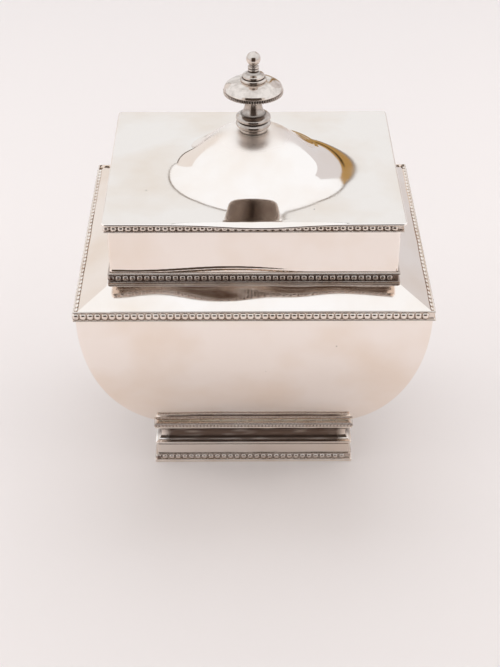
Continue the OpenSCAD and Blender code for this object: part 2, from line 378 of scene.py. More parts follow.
@dataclass(frozen=True)
class RectLoop:
    """A closed walk round a rectangle, as shares of its straight sides and turning normals.

    Attributes:
        along_x: steps along each front and back side.
        along_y: steps along each left and right side.
        turn: steps round each corner.
    """

    along_x: int
    along_y: int
    turn: int = 6

    def shares(self) -> tuple[np.ndarray, np.ndarray]:
        """Walks the four sides and four corners anticlockwise from the front left.

        Returns:
            The place as shares of the inner rectangle, from -1 to 1 in x and y, and the
            outward normal, each steps by two.
        """
        place, normal = [], []
        corners = np.array([[-1, -1], [1, -1], [1, 1], [-1, 1]], float)
        for side in range(4):
            count = (self.along_x, self.along_y)[side % 2]
            share = np.linspace(0.0, 1.0, count)[:, None]
            a, b = corners[side], corners[(side + 1) % 4]
            facing = -math.pi / 2 + side * math.pi / 2
            place.append(a + (b - a) * share)
            normal.append(np.tile([math.cos(facing), math.sin(facing)], (count, 1)))
            angle = facing + np.linspace(0.0, 1.0, self.turn + 1)[1:-1] * math.pi / 2
            place.append(np.tile(b, (len(angle), 1)))
            normal.append(np.stack([np.cos(angle), np.sin(angle)], axis=1))
        return np.concatenate(place), np.concatenate(normal)

    def carry(
        self, half_w: np.ndarray, half_d: np.ndarray, z: np.ndarray, corner: np.ndarray,
    ) -> np.ndarray:
        """Carries a profile round the rectangle.

        At each profile point the rectangle has its own half-width, half-depth and corner
        radius: a point is the inner rectangle's place plus the radius along the normal.

        Args:
            half_w: half-width at each profile point.
            half_d: half-depth at each profile point.
            z: height of each profile point.
            corner: corner radius at each profile point.

        Returns:
            Points, steps by profile points by three.
        """
        place, normal = self.shares()
        x = place[:, :1] * (half_w - corner) + normal[:, :1] * corner
        y = place[:, 1:] * (half_d - corner) + normal[:, 1:] * corner
        return np.stack([x, y, np.broadcast_to(z, x.shape)], axis=2)


def ripple(points: np.ndarray, wave_mm: tuple[float, float], seed: int) -> np.ndarray:
    """Adds up plane sine waves in random directions.

    Args:
        points: positions, any shape by three, in metres.
        wave_mm: the shortest and longest wavelength.
        seed: which set of waves.

    Returns:
        Values of about -1 to 1, of the same shape without its last axis.
    """
    random = np.random.default_rng(seed)
    count = WAVES
    direction = random.normal(size=(count, 3))
    direction /= np.linalg.norm(direction, axis=1, keepdims=True)
    wavelength = random.uniform(*wave_mm, size=count) * MM
    phase = random.uniform(0.0, 2 * math.pi, size=count)
    angle = points @ (direction / wavelength[:, None]).T * 2 * math.pi + phase
    return np.sin(angle).sum(axis=-1) / math.sqrt(count)


def bell(value: np.ndarray, middle: float, width: float) -> np.ndarray:
    """A bell curve: e to the minus square of the distance from its middle over its width."""
    return np.exp(-((value - middle) / width) ** 2)


@dataclass(frozen=True)
class Planishing:
    """The faint waves that hammering and hand polishing leave in sheet metal.

    Attributes:
        height_mm: how far the waves rise.
        wave_mm: the shortest and longest wavelength.
        seed: which set of waves.
    """

    height_mm: float
    wave_mm: tuple[float, float]
    seed: int

    def apply(self, grid: Grid) -> Grid:
        """Moves a grid's points along its normals by the waves' height."""
        height = self.height_mm * MM * ripple(grid.points, self.wave_mm, self.seed)
        return replace(grid, points=grid.points + grid.normals() * height[..., None])


def spin(profile: np.ndarray, around: int = 96) -> np.ndarray:
    """Spins a profile of radius and height about the Z axis.

    Args:
        profile: points by two: radius and height, in metres.
        around: steps round the axis.

    Returns:
        Points, steps by profile points by three.
    """
    angle = np.arange(around)[:, None] * 2 * math.pi / around
    x = np.cos(angle) * profile[:, 0]
    y = np.sin(angle) * profile[:, 0]
    return np.stack([x, y, np.broadcast_to(profile[:, 1], x.shape)], axis=2)


def hollows(outline: np.ndarray, reach_mm: float, strength: float = 1.6) -> np.ndarray:
    """How deep each point of an outline lies in a hollow, where a polishing cloth doesn't reach.

    The middle between the two places one reach away along the outline lies outside the
    surface in a hollow, and inside it on a crown. Its distance along the normal, over the
    reach, is the depth of the hollow.

    Args:
        outline: points by two, from the bottom up the outer side, in metres.
        reach_mm: how far away the two places are.
        strength: how strongly the depth counts.

    Returns:
        One value for each point, from 0 to 1.
    """
    reach = reach_mm * MM
    length = np.concatenate([[0.0], np.cumsum(np.linalg.norm(np.diff(outline, axis=0), axis=1))])
    sides = [np.stack([np.interp(length + shift, length, outline[:, i]) for i in (0, 1)], axis=1)
             for shift in (-reach, reach)]
    run = sides[1] - sides[0]
    far = np.maximum(np.linalg.norm(run, axis=1, keepdims=True), 1e-9)
    normal = np.stack([run[:, 1], -run[:, 0]], axis=1) / far
    depth = (((sides[0] + sides[1]) / 2 - outline) * normal).sum(axis=1) / reach
    inside = (length > reach) & (length < length[-1] - reach)
    return np.clip(depth * strength, 0.0, 1.0) * inside


# ---------------------------------------------------------------- pieces


# How near two walls of a moulding are where a cloth can't reach between them.
HOLLOW_REACH_MM = 0.35


def make_piece(
    name: str, grids: list[Grid], finish: bpy.types.Material, body: Body,
    replaced: list[str],
) -> bpy.types.Object:
    """Puts grids into one mesh object and gives it its body, finish and CAD nodes.

    Args:
        name: the piece's name.
        grids: the surfaces it is made of.
        finish: its material.
        body: the CAD body that it rides on.
        replaced: the CAD nodes that it stands for.

    Returns:
        The new object, at the origin, shaded smooth.
    """
    points, faces, start = [], [], 0
    for grid in grids:
        count = grid.points.shape[0] * grid.points.shape[1]
        points.append(grid.points.reshape(-1, 3))
        faces.append(grid.faces() + start)
        start += count
    mesh = bpy.data.meshes.new(name)
    mesh.from_pydata(np.concatenate(points).tolist(), [], np.concatenate(faces).tolist())
    for quality in ("tarnish", "haze"):
        values = [grid.spread(getattr(grid, quality)) for grid in grids]
        layer = mesh.attributes.new(quality, "FLOAT", "POINT")
        layer.data.foreach_set("value", np.concatenate(values).astype(np.float32))
    shape = bmesh.new()
    shape.from_mesh(mesh)
    bmesh.ops.remove_doubles(shape, verts=shape.verts, dist=1e-7)
    bmesh.ops.dissolve_degenerate(shape, edges=shape.edges, dist=1e-8)
    bmesh.ops.recalc_face_normals(shape, faces=shape.faces)
    shape.to_mesh(mesh)
    shape.free()
    mesh.shade_smooth()
    mesh.materials.append(finish)
    piece = bpy.data.objects.new(name, mesh)
    bpy.context.scene.collection.objects.link(piece)
    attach(piece, body.value)
    if replaced:
        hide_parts(*replaced)
    LOG.info("%s: %d faces on %s", name, len(mesh.polygons), body.value)
    return piece


@dataclass(frozen=True)
class NodeBox:
    """The box of a CAD node, in metres, for a node centred on the Z axis.

    Attributes:
        half_w: how far it reaches from the axis in x.
        half_d: how far it reaches from the axis in y.
        low: height of its underside.
        high: height of its top.
    """

    half_w: float
    half_d: float
    low: float
    high: float

    @classmethod
    def of(cls, node: str) -> "NodeBox":
        """Reads a node's box from the frame."""
        lo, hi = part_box(node)
        return cls(max(abs(lo.x), abs(hi.x)), max(abs(lo.y), abs(hi.y)), lo.z, hi.z)

    def inside(self, points: np.ndarray) -> list[np.ndarray]:
        """How far points lie inside the box's outer faces, in x and in y."""
        return [self.half_w - np.abs(points[..., 0]), self.half_d - np.abs(points[..., 1])]


@dataclass(frozen=True)
class Finishes:
    """The materials, each built once.

    Attributes:
        sheet: buffed sheet silver.
        inner: the softer silver of the inside.
        wire: the silver of the pearl and ribbed wires.
        cast: the silver of the finial.
        steel: the steel of the stud, its washer and its nut.
    """

    sheet: bpy.types.Material
    inner: bpy.types.Material
    wire: bpy.types.Material
    cast: bpy.types.Material
    steel: bpy.types.Material


def moulding(
    box: NodeBox, outline: list[tuple[float, float, float]], loop: RectLoop,
    corner_mm: float = 0.5, grime: float = 0.5,
) -> Grid:
    """A rectangular moulding: an outline carried round a node's outer faces.

    Args:
        box: the node's box, whose outer faces the outline is measured from.
        outline: for each corner, how far it stands outwards of the face, its height over
            the node's underside and its rounding, in millimetres.
        loop: the walk round the rectangle.
        corner_mm: plan radius of the moulding's outer corner.
        grime: how strongly tarnish gathers in its hollows.

    Returns:
        The moulding's grid, closed both ways.
    """
    section = soften(outline)
    out, z = section[:, 0], section[:, 1] + box.low
    corner = np.maximum(corner_mm * MM + out, 0.08 * MM)
    points = loop.carry(box.half_w + out, box.half_d + out, z, corner)
    return Grid(points, tarnish=grime * hollows(section, HOLLOW_REACH_MM))


@dataclass(frozen=True)
class PearlBorder:
    """A length of pearl wire round a rectangle: a backing with fillets, and a row of pearls.

    Attributes:
        node: the CAD node that it stands for.
        body: the CAD body that it rides on.
        backing: outline of the wire behind and beside the pearls, as moulding() takes it.
        pearl_z_mm: height of the pearls' centres over the node's underside.
        rise_mm: half the pearls' height.
        inset_mm: how far the pearls' crowns lie inside the outer face.
        pitch_mm: spacing of the pearls.
        squareness: power of the pearls' rounded-cube form; 2 would be a plain ball.
        grime: how strongly tarnish gathers between the pearls.
        film: how tarnished the whole wire is.
        around: steps round each pearl.
        rings: steps from its top to its bottom.
        gap_mm: the gap between two pearls.
    """

    node: str
    body: Body
    backing: tuple[tuple[float, float, float], ...]
    pearl_z_mm: float
    rise_mm: float = 1.05
    inset_mm: float = 0.03
    pitch_mm: float = 2.4
    squareness: float = 3.2
    grime: float = 0.5
    film: float = 0.1
    around: int = 12
    rings: int = 7
    gap_mm: float = 0.02

    def pearl(self) -> Grid:
        """One pearl about the origin, a struck bead with a slightly square form.

        A direction on the unit sphere is divided by the root of the sum of its powers, so
        that the bead fills more of its square than a ball would. Tarnish gathers on the
        flanks that face the next pearl along the X axis.

        Returns:
            The pearl's grid.
        """
        fall = np.linspace(0.0, math.pi, self.rings + 1)
        ball = spin(np.stack([np.sin(fall), np.cos(fall)], axis=1), self.around)
        powers = (np.abs(ball) ** self.squareness).sum(axis=2, keepdims=True)
        size = powers ** (1.0 / self.squareness)
        half = self.pitch_mm / 2 - self.gap_mm / 2
        bead = ball / size * np.array([half, half, self.rise_mm]) * MM
        flank = np.clip((np.abs(bead[..., 0]) / (half * MM) - 0.72) / 0.28, 0.0, 1.0)
        tarnish = np.clip(self.film + self.grime * flank, 0.0, 1.0)
        return Grid(bead, close_columns=False, tarnish=tarnish)

    def placed(self, box: NodeBox) -> list[Grid]:
        """Sets pearls along the four sides at an even pitch, with one at each corner.

        The front and left sides leave out their last pearl and the other two their first,
        because the next side has it.

        Args:
            box: the wire's box.

        Returns:
            One grid for each pearl.
        """
        bead = self.pearl()
        turned = replace(bead, points=bead.points[..., [1, 0, 2]])
        reach = (self.pitch_mm / 2 + self.inset_mm) * MM
        half_w, half_d = box.half_w - reach, box.half_d - reach
        z = box.low + self.pearl_z_mm * MM
        grids = []
        for half, other, shape, axes in (
            (half_w, half_d, bead, (0, 1)), (half_d, half_w, turned, (1, 0)),
        ):
            shares = np.linspace(-1.0, 1.0, round(2 * half / (self.pitch_mm * MM)) + 1)
            for side, kept in ((-1.0, shares[:-1]), (1.0, shares[1:])):
                for share in kept:
                    spot = np.array([0.0, 0.0, z])
                    spot[axes[0]], spot[axes[1]] = share * half, side * other
                    grids.append(replace(shape, points=shape.points + spot))
        return grids

    def build(self, finishes: Finishes) -> bpy.types.Object:
        """Builds the wire and its pearls as one piece.

        Args:
            finishes: the materials.

        Returns:
            The new object.
        """
        box = NodeBox.of(self.node)
        wire = moulding(box, list(self.backing), RectLoop(36, 32), grime=0.5 * self.grime)
        wire = replace(wire, tarnish=np.clip(wire.tarnish + self.film, 0.0, 1.0))
        return make_piece(self.node + "_wire", [wire, *self.placed(box)], finishes.wire,
                          self.body, [self.node])


# ---------------------------------------------------------------- the bowl


@dataclass(frozen=True)
class Foot:
    """The moulded foot: plinth, pearls, plain band, cove and ribbed wire.

    Attributes:
        loop: the walk round the mouldings.
        wall_mm: how thick the plinth is.
        band_tarnish: how tarnished the plain band is.
        cove_full: depth in the cove at which its tarnish and painted shade are full.
        cove_clean: how far from a corner the cove's bright end begins, where tarnish and painted
            shade are left off.
        cove_fade: over which length the bright end turns dark.
        rib_pitch_mm: spacing of the ribs.
        rib_height_mm: how deep the ribs are.
        rib_fade: how far behind the outer face the ribs die away.
        waves: waves in the band and the cove.
        pearls: the pearl wire above the plinth.
    """

    loop: RectLoop = RectLoop(60, 52)
    wall_mm: float = 3.5
    band_tarnish: float = 0.2
    cove_full: float = 1.7 * MM
    cove_clean: float = 2.5 * MM
    cove_fade: float = 3.0 * MM
    rib_pitch_mm: float = 1.25
    rib_height_mm: float = 0.22
    rib_fade: float = 0.6 * MM
    waves: Planishing = Planishing(0.035, (9.0, 22.0), 11)
    pearls: PearlBorder = PearlBorder(
        "foot_bead_border", Body.BOWL,
        backing=((-0.75, 0.0, 0.1), (-0.75, 2.15, 0.05), (-0.35, 2.15, 0.12), (-0.35, 2.4, 0.12),
                 (-3.5, 2.4, 0.1), (-3.5, 0.0, 0.1)),
        pearl_z_mm=1.1, rise_mm=1.0, grime=0.6, film=0.3)

    def build(self, finishes: Finishes) -> None:
        """Builds the foot's five mouldings.

        Args:
            finishes: the materials.
        """
        self.plinth(finishes)
        self.pearls.build(finishes)
        self.band(finishes)
        self.cove(finishes)
        self.ribbed_wire(finishes)

    def plinth(self, finishes: Finishes) -> None:
        """The half-round wire that the bowl stands on.

        Args:
            finishes: the materials.
        """
        box = NodeBox.of("foot_plinth")
        outline = [(0, 0, 0.35), (0, 1.15, 0.5), (-0.6, 1.2, 0.1), (-self.wall_mm, 1.2, 0.1),
                   (-self.wall_mm, 0, 0.2)]
        make_piece("foot_plinth_wire", [moulding(box, outline, self.loop)], finishes.wire,
                   Body.BOWL, ["foot_plinth"])

    def band(self, finishes: Finishes) -> None:
        """The plain strip, with a fine step at its top and bottom.

        Args:
            finishes: the materials.
        """
        box = NodeBox.of("foot_band")
        outline = [(0, 0, 0.1), (0, 4.1, 0.15), (-0.25, 4.2, 0.1), (-0.25, 5.0, 0.15),
                   (-2.6, 5.0, 0.1), (-2.6, 0, 0.1)]
        grid = self.waves.apply(moulding(box, outline, self.loop, 0.6))
        grid = replace(grid, tarnish=np.clip(grid.tarnish + self.band_tarnish, 0.0, 1.0))
        make_piece("foot_band_strip", [grid], finishes.sheet, Body.BOWL, ["foot_band"])

    def cove(self, finishes: Finishes) -> None:
        """The hollow moulding: a lip, a round hollow and a second lip.

        Tarnish and painted shade deepen with the hollow, in streaks along it. The dark brown is
        partly patina and partly a painted reflection of the dark room in front, with painted shade
        between the cove's walls. Both are left off near the corners, where the cove is bright.

        Args:
            finishes: the materials.
        """
        box = NodeBox.of("foot_cove")
        height = (box.high - box.low) / MM
        half = height / 2 - 0.75
        angle = np.radians(np.linspace(-86, 86, 15))
        hollow = [(-2.35 * math.cos(a) ** 0.8, height / 2 + half * math.sin(a), 0.3) for a in angle]
        outline = [(-0.35, 0, 0.1), (0, 0.1, 0.25), (0, 0.65, 0.2), *hollow,
                   (0, height - 0.65, 0.2), (0, height, 0.25), (-3.4, height, 0.1), (-3.4, 0, 0.1)]
        grid = self.waves.apply(moulding(box, outline, self.loop, 0.6, grime=0.3))
        inside = box.inside(grid.points)
        depth = np.clip(np.minimum(*inside) / self.cove_full, 0.0, 1.0)
        polished_end = np.clip((np.maximum(*inside) - self.cove_clean) / self.cove_fade, 0.15, 1.0)
        streak = 0.9 + 0.14 * ripple(grid.points * [1.0, 1.0, 6.0], (3.0, 14.0), 17)
        # Painted shade and painted reflection: on top of its patina, the cove is darkened by its
        # depth, and left light near the corners.
        tarnish = grid.tarnish + (0.22 + 0.8 * depth * streak) * polished_end
        grid = replace(grid, tarnish=np.clip(tarnish, 0.0, 0.94))
        make_piece("foot_cove_moulding", [grid], finishes.sheet, Body.BOWL,
                   ["foot_cove"])

    def ribbed_wire(self, finishes: Finishes) -> None:
        """The wire under the bowl, whose outer face swells and sinks in fine upright ribs.

        The ribs' depth is a sine along the wire, faded out behind its outer face.

        Args:
            finishes: the materials.
        """
        box = NodeBox.of("foot_top_border")
        loop = RectLoop(340, 300, 8)
        outline = [(-0.1, 0.1, 0.3), (0, 1.0, 0.5), (-0.9, 1.6, 0.4), (-1.9, 1.7, 0.1),
                   (-3.8, 1.7, 0.1), (-3.8, 0, 0.1), (-0.6, 0, 0.1)]
        grid = moulding(box, outline, loop, 0.6)
        points = grid.points
        along = np.where(np.abs(points[..., 1]) / box.half_d > np.abs(points[..., 0]) / box.half_w,
                         points[..., 0], points[..., 1])
        wave = 0.5 - 0.5 * np.cos(along / (self.rib_pitch_mm * MM) * 2 * math.pi)
        face = np.clip(1.0 - np.minimum(*box.inside(points)) / self.rib_fade, 0.0, 1.0)
        sunk = wave * face * self.rib_height_mm * MM
        _, normal = loop.shares()
        points[..., 0] -= normal[:, :1] * sunk
        points[..., 1] -= normal[:, 1:] * sunk
        grid = Grid(points, tarnish=0.25 + wave * face * 0.5)
        make_piece("foot_top_ribbed_wire", [grid], finishes.wire, Body.BOWL,
                   ["foot_top_border"])


@dataclass(frozen=True)
class Bowl:
    """The bombe bowl, its waist border, the hipped shoulder and the neck.

    Attributes:
        closing_drop: how far under the waist the wall's ellipse would close.
        waist_z: height at which the wall stands upright.
        sheet: thickness of the sheet.
        corner: plan radius of the shell's outer corners.
        inner_corner: plan radius of its inner corners.
        loop: the walk round the bowl.
        inner_haze: how much rougher the inside is than the outside.
        shoulder_edge: thickness of the shoulder's edge at the waist.
        shoulder_sag: how far the shoulder's slope bends at the middle of a side.
        waves: waves in the shell.
        shoulder_waves: waves in the shoulder.
        waist: the pearl wire between the shell and the shoulder.
    """

    closing_drop: float = 73.5 * MM
    waist_z: float = 78.0 * MM
    sheet: float = 0.9 * MM
    corner: float = 0.9 * MM
    inner_corner: float = 0.3 * MM
    loop: RectLoop = RectLoop(88, 76, 8)
    inner_haze: float = 0.2
    shoulder_edge: float = 0.3 * MM
    shoulder_sag: float = 0.085 * MM
    waves: Planishing = Planishing(0.05, (22.0, 60.0), 3)
    shoulder_waves: Planishing = Planishing(0.05, (13.0, 30.0), 8)
    waist: PearlBorder = PearlBorder(
        "waist_bead_border", Body.BOWL,
        backing=((-0.2, 0.0, 0.1), (-0.05, 0.3, 0.15), (-0.2, 0.62, 0.12), (-0.8, 0.66, 0.05),
                 (-0.8, 2.95, 0.05), (-0.5, 2.98, 0.12), (-0.35, 3.3, 0.15), (-0.5, 3.6, 0.12),
                 (-0.9, 3.6, 0.05), (-0.9, 0.0, 0.05)),
        pearl_z_mm=1.8, rise_mm=1.1, squareness=5.5, grime=0.25, film=0.0)

    def build(self, finishes: Finishes) -> None:
        """Builds the bowl's pieces, and gives the floor its finish.

        Args:
            finishes: the materials.
        """
        self.shell(finishes)
        self.waist.build(finishes)
        self.shoulder(finishes)
        self.neck(finishes)
        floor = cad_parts["bowl_floor"]
        floor.data.materials.clear()
        floor.data.materials.append(finishes.inner)

    def wall(self, inset: float, low: float, high: float, count: int) -> np.ndarray:
        """One face of the wall: an ellipse quadrant that stands upright at the waist.

        Above the waist the wall goes straight up.

        Args:
            inset: how far the face lies inside the outer one.
            low: height at the bottom.
            high: height at the top.
            count: number of points.

        Returns:
            Points by two: the share of the face's half-size at the waist, and the height.
        """
        drop = self.closing_drop - inset
        start = math.asin(min((self.waist_z - low) / drop, 1.0))
        angle = np.linspace(start, 0.0, count)
        curve = np.stack([np.cos(angle), self.waist_z - drop * np.sin(angle)], axis=1)
        return np.vstack([curve, [1.0, high]])

    def shell(self, finishes: Finishes) -> None:
        """The four curved panels, soldered at the corners into one shell.

        Args:
            finishes: the materials.
        """
        front, side = NodeBox.of("bowl_front_panel"), NodeBox.of("bowl_right_panel")
        half_w, half_d = front.half_w, front.half_d
        outer = self.wall(0.0, front.low, front.high, 56)
        inner = self.wall(self.sheet, front.low, front.high, 40)[::-1]
        width = np.concatenate([outer[:, 0] * half_w, inner[:, 0] * (half_w - self.sheet)])
        depth = np.concatenate([outer[:, 0] * half_d, inner[:, 0] * (half_d - self.sheet)])
        z = np.concatenate([outer[:, 1], inner[:, 1]])
        outside = np.arange(len(z)) < len(outer)
        corner = np.where(outside, self.corner, self.inner_corner)
        satin = np.where(outside, 0.0, self.inner_haze)[None, :]
        grid = self.waves.apply(Grid(self.loop.carry(width, depth, z, corner), haze=satin))
        make_piece("bowl_shell", [grid], finishes.sheet, Body.BOWL,
                   ["bowl_front_panel", "bowl_back_panel", "bowl_left_panel", "bowl_right_panel"])

    def shoulder(self, finishes: Finishes) -> None:
        """The hipped frame: a flat ledge, a soft bend and a slope down to the waist.

        The sheet thins to a fine edge. Along the middle of each side the slope is steeper
        at its top and foot and flatter between, by a full sine wave down it.

        Args:
            finishes: the materials.
        """
        box, neck, band = NodeBox.of("shoulder"), NodeBox.of("neck"), NodeBox.of("lid_band")
        inner = (neck.half_w - box.half_w) / MM
        ledge = (band.half_w - box.half_w) / MM + 1.2
        rise = (box.high - box.low) / MM
        sheet = self.sheet / MM * 1.08
        edge = self.shoulder_edge / MM
        steps = 16
        slope = [(ledge * k / steps, edge + (rise - edge) * k / steps, 0.0) for k in range(1, steps)]
        outline = [(inner, rise - sheet, 0.05), (ledge, rise - sheet, 0.5), (-1.0, 0, 0.1),
                   (0, 0, 0.05), (0, edge, 0.1), *slope, (ledge, rise, 0.5), (inner, rise, 0.05)]
        grid = moulding(box, outline, self.loop, 0.35, grime=0.0)
        place, normal = self.loop.shares()
        along = np.where(np.abs(normal[:, 1]) > np.abs(normal[:, 0]), place[:, 0], place[:, 1])
        down = np.clip(1.0 + np.minimum(*box.inside(grid.points)) / (ledge * MM), 0.0, 1.0)
        sag = self.shoulder_sag * (0.75 * bell(along, -0.1, 0.22) + 0.4 * bell(along, -0.2, 0.5))
        grid.points[..., 2] -= sag[:, None] * np.sin(down * 2 * math.pi)
        make_piece("shoulder_sheet", [self.shoulder_waves.apply(grid)], finishes.sheet,
                   Body.BOWL, ["shoulder"])

    def neck(self, finishes: Finishes) -> None:
        """The upright collar, with a rounded lip.

        Args:
            finishes: the materials.
        """
        box = NodeBox.of("neck")
        height, sheet = (box.high - box.low) / MM, self.sheet / MM
        outline = [(0, 0, 0.1), (0, height, 0.4), (-sheet, height, 0.4), (-sheet, 0, 0.1)]
        make_piece("neck_collar", [moulding(box, outline, self.loop, 0.9)], finishes.inner,
                   Body.BOWL, ["neck"])


# ---------------------------------------------------------------- the lid


@dataclass(frozen=True)
class Lid:
    """The cap lid: band, two pearl borders and the top plate with its dome.

    Attributes:
        sheet: thickness of the sheet.
        crown: height, fall radius and power of the dome's crown.
        flare: height, fall radius and power of the dome's wide flare.
        dome_reach: radius of the dome's rim.
        round_reach: radius up to which the plate's rings are circles.
        plate_corner: plan radius of the plate's corners.
        crown_haze: how much rougher the top of the crown is.
        haze_radius: the haze fades from half this radius to one and a half times it.
        solder: height, place over the ledge and width of the run of solder.
        dent_middle: where the dent's middle lies in x.
        dent_lip: depth, width and reach of the dent's sharp lip.
        dent_slope: depth, width and reach of the gentle slope behind it.
        loop: the walk round the lid.
        waves: waves in the band.
        plate_waves: waves in the plate.
        lower: the pearl wire at the band's foot.
        upper: the pearl wire under the plate.
    """

    sheet: float = 0.9 * MM
    crown: tuple[float, float, float] = (7.87 * MM, 19.5 * MM, 4.2)
    flare: tuple[float, float, float] = (6.17 * MM, 22.0 * MM, 2.0)
    dome_reach: float = 40.0 * MM
    round_reach: float = 30.0 * MM
    plate_corner: float = 1.4 * MM
    crown_haze: float = 0.4
    haze_radius: float = 13.0 * MM
    solder: tuple[float, float, float] = (0.13 * MM, 0.7 * MM, 0.55 * MM)
    dent_middle: float = 1.8 * MM
    dent_lip: tuple[float, float, float] = (0.85 * MM, 18.0 * MM, 0.9 * MM)
    dent_slope: tuple[float, float, float] = (0.48 * MM, 15.0 * MM, 5.0 * MM)
    loop: RectLoop = RectLoop(88, 76, 8)
    waves: Planishing = Planishing(0.03, (20.0, 50.0), 5)
    plate_waves: Planishing = Planishing(0.03, (24.0, 55.0), 6)
    lower: PearlBorder = PearlBorder(
        "lid_lower_border", Body.LID,
        backing=((-0.15, 0.0, 0.2), (0.0, 0.4, 0.3), (-0.05, 1.15, 0.2), (-0.8, 1.25, 0.05),
                 (-0.8, 3.5, 0.05), (-0.25, 3.55, 0.12), (-0.05, 3.85, 0.2), (-0.35, 4.3, 0.25),
                 (-0.85, 4.4, 0.05), (-0.9, 4.3, 0.02), (-0.9, 0.0, 0.05)),
        pearl_z_mm=2.38, rise_mm=1.1, grime=0.8, film=0.42)
    upper: PearlBorder = PearlBorder(
        "lid_upper_border", Body.LID,
        backing=((-0.45, 0.0, 0.1), (-0.3, 0.2, 0.1), (-0.45, 0.42, 0.1), (-1.1, 0.46, 0.05),
                 (-1.1, 2.6, 0.05), (-1.5, 2.6, 0.05), (-1.5, 0.0, 0.05)),
        pearl_z_mm=1.45, rise_mm=1.0, grime=0.5, film=0.1)

    def build(self, finishes: Finishes) -> None:
        """Builds the lid's sheet and wires.

        Args:
            finishes: the materials.
        """
        self.band(finishes)
        self.lower.build(finishes)
        self.upper.build(finishes)
        self.plate(finishes)

    def band(self, finishes: Finishes) -> None:
        """The upright wall of the cap, with a wavy run of solder over its lower border.

        The run is a bell curve up the wall, whose height over the ledge wanders along it.
        It is stronger at the left than at the right.

        Args:
            finishes: the materials.
        """
        box = NodeBox.of("lid_band")
        height, sheet = (box.high - box.low) / MM, self.sheet / MM
        ledge = (NodeBox.of("lid_lower_border").high - box.low) / MM
        levels = np.concatenate([
            np.linspace(0.6, ledge - 0.4, 4), np.linspace(ledge - 0.2, ledge + 4.0, 28),
            np.linspace(ledge + 4.6, height - 0.5, 22)])
        outline = [(0, 0, 0.1), *((0, level, 0.0) for level in levels), (0, height, 0.1),
                   (-sheet, height, 0.1), (-sheet, 0, 0.1)]
        grid = self.waves.apply(moulding(box, outline, self.loop, 0.9, grime=0.0))
        over = grid.points[..., 2] - box.low - ledge * MM
        proud, rise, spread = self.solder
        wander = ripple(grid.points * [1.0, 1.0, 0.0], (24.0, 70.0), 29)
        outer = np.minimum(*box.inside(grid.points)) < 0.5 * self.sheet
        strength = np.clip(0.62 - 1.1 * grid.points[..., 0] / box.half_w, 0.12, 1.0)
        push = proud * strength * bell(over, rise * (1.0 + 0.7 * wander), spread) * outer
        _, normal = self.loop.shares()
        grid.points[..., :2] += normal[:, None] * push[..., None]
        make_piece("lid_band_wall", [grid], finishes.sheet, Body.LID, ["lid_band"])

    def dome(self, radius: np.ndarray) -> np.ndarray:
        """The dome's height over the flat at a radius, zero at its rim.

        Two bell curves are added: a flat-topped, steep-sided crown and a wide flare. Each
        is its height times e to the minus power of the radius over its fall radius.

        Args:
            radius: distances from the axis.

        Returns:
            The height at each of them.
        """
        def rise(r: np.ndarray | float) -> np.ndarray:
            """Crown and flare together at a radius."""
            curves = (self.crown, self.flare)
            return sum(height * np.exp(-(r / fall) ** power) for height, fall, power in curves)

        return rise(np.minimum(radius, self.dome_reach)) - rise(self.dome_reach)

    def plate(self, finishes: Finishes) -> None:
        """The top plate and dome in one sheet.

        Rays run from the stud's hole out to the plate's rounded rectangle, in circles near
        the axis that turn smoothly into rectangles towards the edge. Each point is lifted
        by the dome's height at its own radius. The section goes out along the top, round
        the edge and back along the underside. The middle of the front edge is pressed down
        over the pearls: a bell curve along the edge, times a short lip and a gentle slope
        that dies away towards the dome.

        Args:
            finishes: the materials.
        """
        box = NodeBox.of("lid_top_plate")
        hole, seat = NodeBox.of("finial_stud").half_w + 0.05 * MM, NodeBox.of("finial_base").half_w
        top = NodeBox.of("lid_band").high + self.sheet
        sizes = (box.half_w, box.half_d, 0.0, self.plate_corner)
        rim = self.loop.carry(*(np.array([size]) for size in sizes))[:, 0, :2]
        edge = np.array([0.35, 0.13, 0.0, 0.0, 0.13, 0.35]) * MM
        drop = np.array([0.0, 0.1, 0.32, 0.58, 0.8, 0.9]) * MM
        inward = rim / np.linalg.norm(rim, axis=1, keepdims=True)
        angle = np.arctan2(rim[:, 1], rim[:, 0])
        circle = np.stack([np.cos(angle), np.sin(angle)], axis=1)
        share = np.linspace(0.0, 1.0, 90) ** 0.9
        round_share = 0.6
        rings = hole + (self.round_reach - hole) * np.minimum(share / round_share, 1.0)
        blend = np.clip((share - round_share) / (1.0 - round_share), 0.0, 1.0)[None, :, None]
        round_part = circle[:, None] * rings[None, :, None]
        flat = round_part * (1 - blend) + (rim - inward * 0.5 * MM)[:, None] * blend
        outline = rim[:, None] - inward[:, None] * edge[None, :, None]
        plan = np.concatenate([flat, outline, flat[:, ::-1]], axis=1)
        lower = np.concatenate([np.zeros(len(share)), drop, np.full(len(share), self.sheet)])
        radius = np.linalg.norm(plan, axis=2)
        lift = self.dome(np.maximum(radius, seat))
        points = np.dstack([plan, top + lift - lower])
        lip, lip_width, lip_reach = self.dent_lip
        slope, slope_width, slope_reach = self.dent_slope
        aside, back = points[..., 0] - self.dent_middle, points[..., 1] + box.half_d
        points[..., 2] -= lip * bell(aside, 0.0, lip_width) * bell(back, 0.0, lip_reach)
        points[..., 2] -= slope * bell(aside, 0.0, slope_width) * np.exp(-back / slope_reach)
        haze = self.crown_haze * np.clip(1.5 - radius / self.haze_radius, 0.0, 1.0)
        grid = self.plate_waves.apply(Grid(points, haze=haze))
        make_piece("lid_top_sheet", [grid], finishes.sheet, Body.LID, ["lid_top_plate"])


